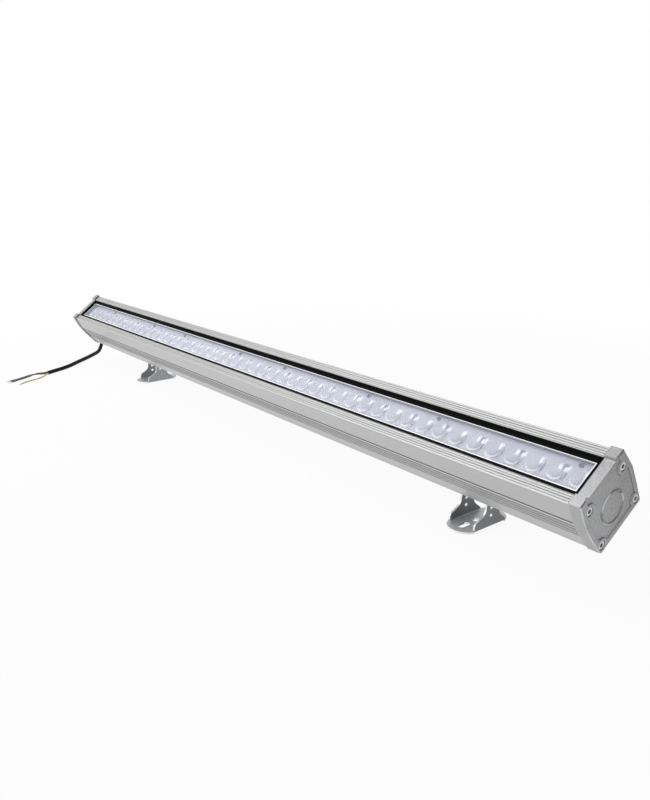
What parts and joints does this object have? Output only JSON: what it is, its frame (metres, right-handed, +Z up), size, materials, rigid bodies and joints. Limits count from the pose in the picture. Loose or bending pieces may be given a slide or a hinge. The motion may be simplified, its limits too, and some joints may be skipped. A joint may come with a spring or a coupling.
{
  "type": "outdoor wall washer light",
  "caption": "Long grooved aluminium wall washer lamp with die-cast end caps, a glass window over ribbed lenses, sliding tilting foot brackets and a short bare-ended cable.",
  "frame": {"origin": "on the ground, midway between the end caps and midway between the lamp's front edge and the brackets' back edge", "axes": "+X along the lamp towards the blank end cap, +Y to the back, +Z up from the ground that the brackets stand on"},
  "size_m": [1.0761, 0.2384, 0.1182],
  "materials": {
    "housing_alloy": "fine matt silver-grey anodising on the extrusion",
    "cap_alloy": "grey powder coat over a slightly grainy die casting",
    "gasket_black": "matt black silicone",
    "window_glass": "clear toughened glass with a ground edge",
    "lens_clear": "clear moulded acrylic with fine ribs",
    "board_white": "white solder mask",
    "chip_resin": "pale yellow resin",
    "screw_steel": "plain stainless steel",
    "screw_dark": "blackened steel",
    "driver_alloy": "plain satin case",
    "gland_black": "black nylon",
    "sheath_black": "matt black cable sheath",
    "wire_blue": "blue insulation",
    "wire_brown": "brown insulation",
    "wire_earth": "yellow and green insulation",
    "wire_red": "red insulation",
    "copper": "tinned copper strands",
    "bracket_steel": "brushed stainless sheet with bright cut edges",
    "saddle_alloy": "plain machined aluminium"
  },
  "bodies": {
    "lamp": {"housing": "housing_alloy", "end_cap_right": "cap_alloy", "end_cap_left": "cap_alloy", "cap_gasket_right": "gasket_black", "cap_gasket_left": "gasket_black", "cap_screws_right": "screw_steel", "cap_screws_left": "screw_steel", "glass_cover": "window_glass", "glass_seal": "gasket_black", "strip_screws": "screw_dark", "driver_case": "driver_alloy", "supply_leads": "wire_blue", "board_leads": "wire_red", "gland_body": "gland_black", "gland_nut": "gland_black", "gland_seal": "gasket_black", "gland_locknut": "gland_black", "cable_tail": "sheath_black", "power_cable": "sheath_black", "core_blue": "wire_blue", "core_brown": "wire_brown", "core_earth": "wire_earth", "core_tips": "copper", "lens_strip_1": "lens_clear", "led_board_1": "board_white", "led_chips_1": "chip_resin", "lens_strip_2": "lens_clear", "led_board_2": "board_white", "led_chips_2": "chip_resin", "lens_strip_3": "lens_clear", "led_board_3": "board_white", "led_chips_3": "chip_resin", "lens_strip_4": "lens_clear", "led_board_4": "board_white", "led_chips_4": "chip_resin"},
    "carrier_right": {"saddle_right": "saddle_alloy", "slide_nut_right": "screw_steel", "clamp_screw_right": "screw_steel", "pivot_bolts_right": "screw_steel", "pivot_washers_right": "screw_steel"},
    "carrier_left": {"saddle_left": "saddle_alloy", "slide_nut_left": "screw_steel", "clamp_screw_left": "screw_steel", "pivot_bolts_left": "screw_steel", "pivot_washers_left": "screw_steel"},
    "foot_right": {"bracket_right": "bracket_steel"},
    "foot_left": {"bracket_left": "bracket_steel"}
  },
  "joints": [
    {"name": "right_slide", "type": "slide", "parent": "lamp", "child": "carrier_right", "axis": [1, 0, 0], "range_m": [-0.336, 0.1]},
    {"name": "left_slide", "type": "slide", "parent": "lamp", "child": "carrier_left", "axis": [1, 0, 0], "range_m": [-0.14, 0.296]},
    {"name": "right_tilt", "type": "hinge", "parent": "carrier_right", "child": "foot_right", "pos_m": [0.358, 0.01708, 0.043], "axis": [1, 0, 0], "range_deg": [-54, 126]},
    {"name": "left_tilt", "type": "hinge", "parent": "carrier_left", "child": "foot_left", "pos_m": [-0.318, 0.01708, 0.043], "axis": [1, 0, 0], "range_deg": [-54, 126]}
  ],
  "couplings": [
    {"joint": "left_tilt", "follows": "right_tilt", "ratio": 1}
  ]
}
